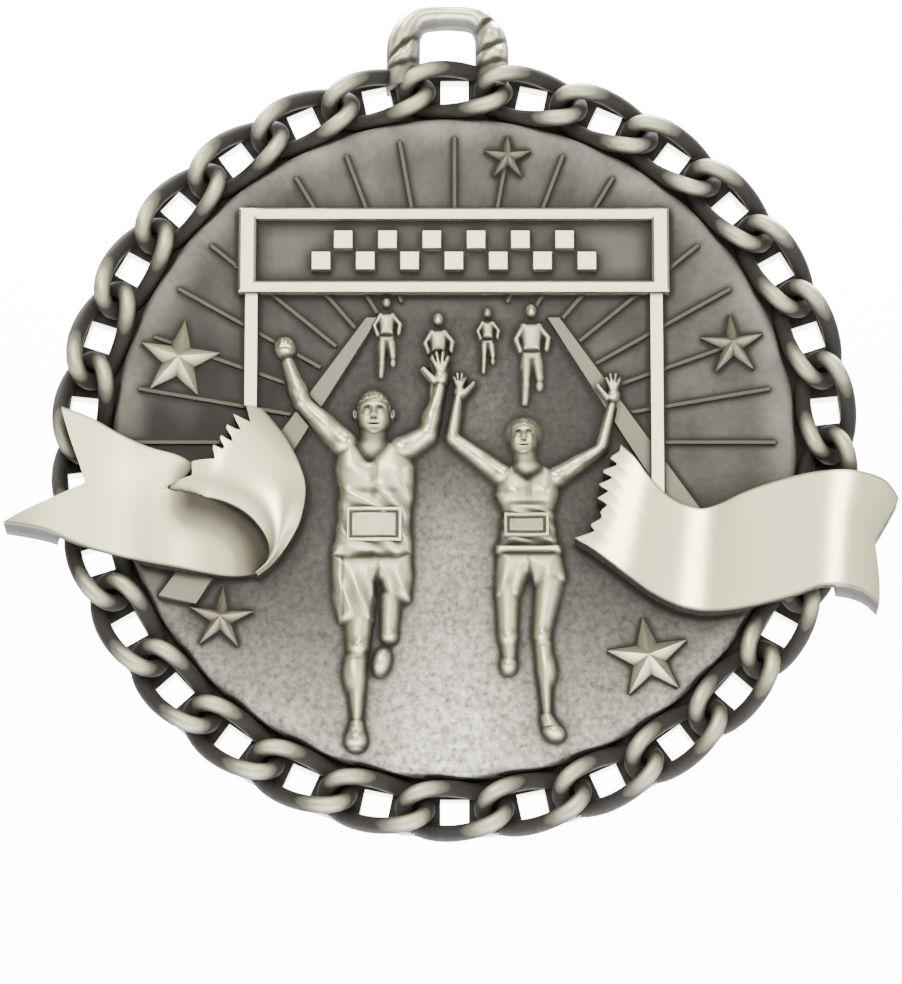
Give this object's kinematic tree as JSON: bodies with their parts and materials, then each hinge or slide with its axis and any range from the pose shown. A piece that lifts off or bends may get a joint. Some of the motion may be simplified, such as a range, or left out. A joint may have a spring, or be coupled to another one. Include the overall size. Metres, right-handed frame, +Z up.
{
  "type": "sports finisher medal",
  "caption": "Round cast sports medal with a curb-chain border, a relief of runners breaking a finish tape below a chequered banner, stars, and a ribbon loop.",
  "frame": {"origin": "centre of the flat back face", "axes": "+Z up towards the ribbon loop as worn, the picture faces -Y, +X to the viewer's right"},
  "size_m": [0.0703, 0.0058, 0.0684],
  "materials": {
    "plate_metal": "satin silver-plated zinc alloy",
    "field_metal": "antiqued silver plating, darkened in the recesses",
    "recess_metal": "dark antiqued plating",
    "chain_metal": "antiqued silver plating, polished on the high places",
    "relief_metal": "antiqued silver plating, polished on the high places",
    "figure_metal": "antiqued silver plating, polished on the high places",
    "tape_metal": "satin antiqued silver plating"
  },
  "bodies": {
    "root": {"back_plate": "plate_metal", "banner_chequers": "relief_metal", "banner_frame": "relief_metal", "banner_panel": "recess_metal", "banner_post_left": "relief_metal", "banner_post_right": "relief_metal", "chain_link_01": "chain_metal", "chain_link_02": "chain_metal", "chain_link_03": "chain_metal", "chain_link_04": "chain_metal", "chain_link_05": "chain_metal", "chain_link_06": "chain_metal", "chain_link_07": "chain_metal", "chain_link_08": "chain_metal", "chain_link_09": "chain_metal", "chain_link_10": "chain_metal", "chain_link_11": "chain_metal", "chain_link_12": "chain_metal", "chain_link_13": "chain_metal", "chain_link_14": "chain_metal", "chain_link_15": "chain_metal", "chain_link_16": "chain_metal", "chain_link_17": "chain_metal", "chain_link_18": "chain_metal", "chain_link_19": "chain_metal", "chain_link_20": "chain_metal", "chain_link_21": "chain_metal", "chain_link_22": "chain_metal", "chain_link_23": "chain_metal", "chain_link_24": "chain_metal", "chain_link_25": "chain_metal", "chain_link_26": "chain_metal", "chain_link_27": "chain_metal", "chain_link_28": "chain_metal", "chain_link_29": "chain_metal", "chain_link_30": "chain_metal", "far_runner_1": "figure_metal", "far_runner_2": "figure_metal", "far_runner_3": "figure_metal", "far_runner_4": "figure_metal", "field_disc": "field_metal", "ribbon_loop": "relief_metal", "road_edge_left": "relief_metal", "road_edge_right": "relief_metal", "runner_left": "figure_metal", "runner_left_bib": "figure_metal", "runner_right": "figure_metal", "runner_right_bib": "figure_metal", "sky_rays": "relief_metal", "star_left": "relief_metal", "star_lower_left": "relief_metal", "star_lower_right": "relief_metal", "star_right": "relief_metal", "star_top": "relief_metal", "tape_left_curl": "tape_metal", "tape_left_tail": "tape_metal", "tape_right": "tape_metal"}
  },
  "joints": []
}
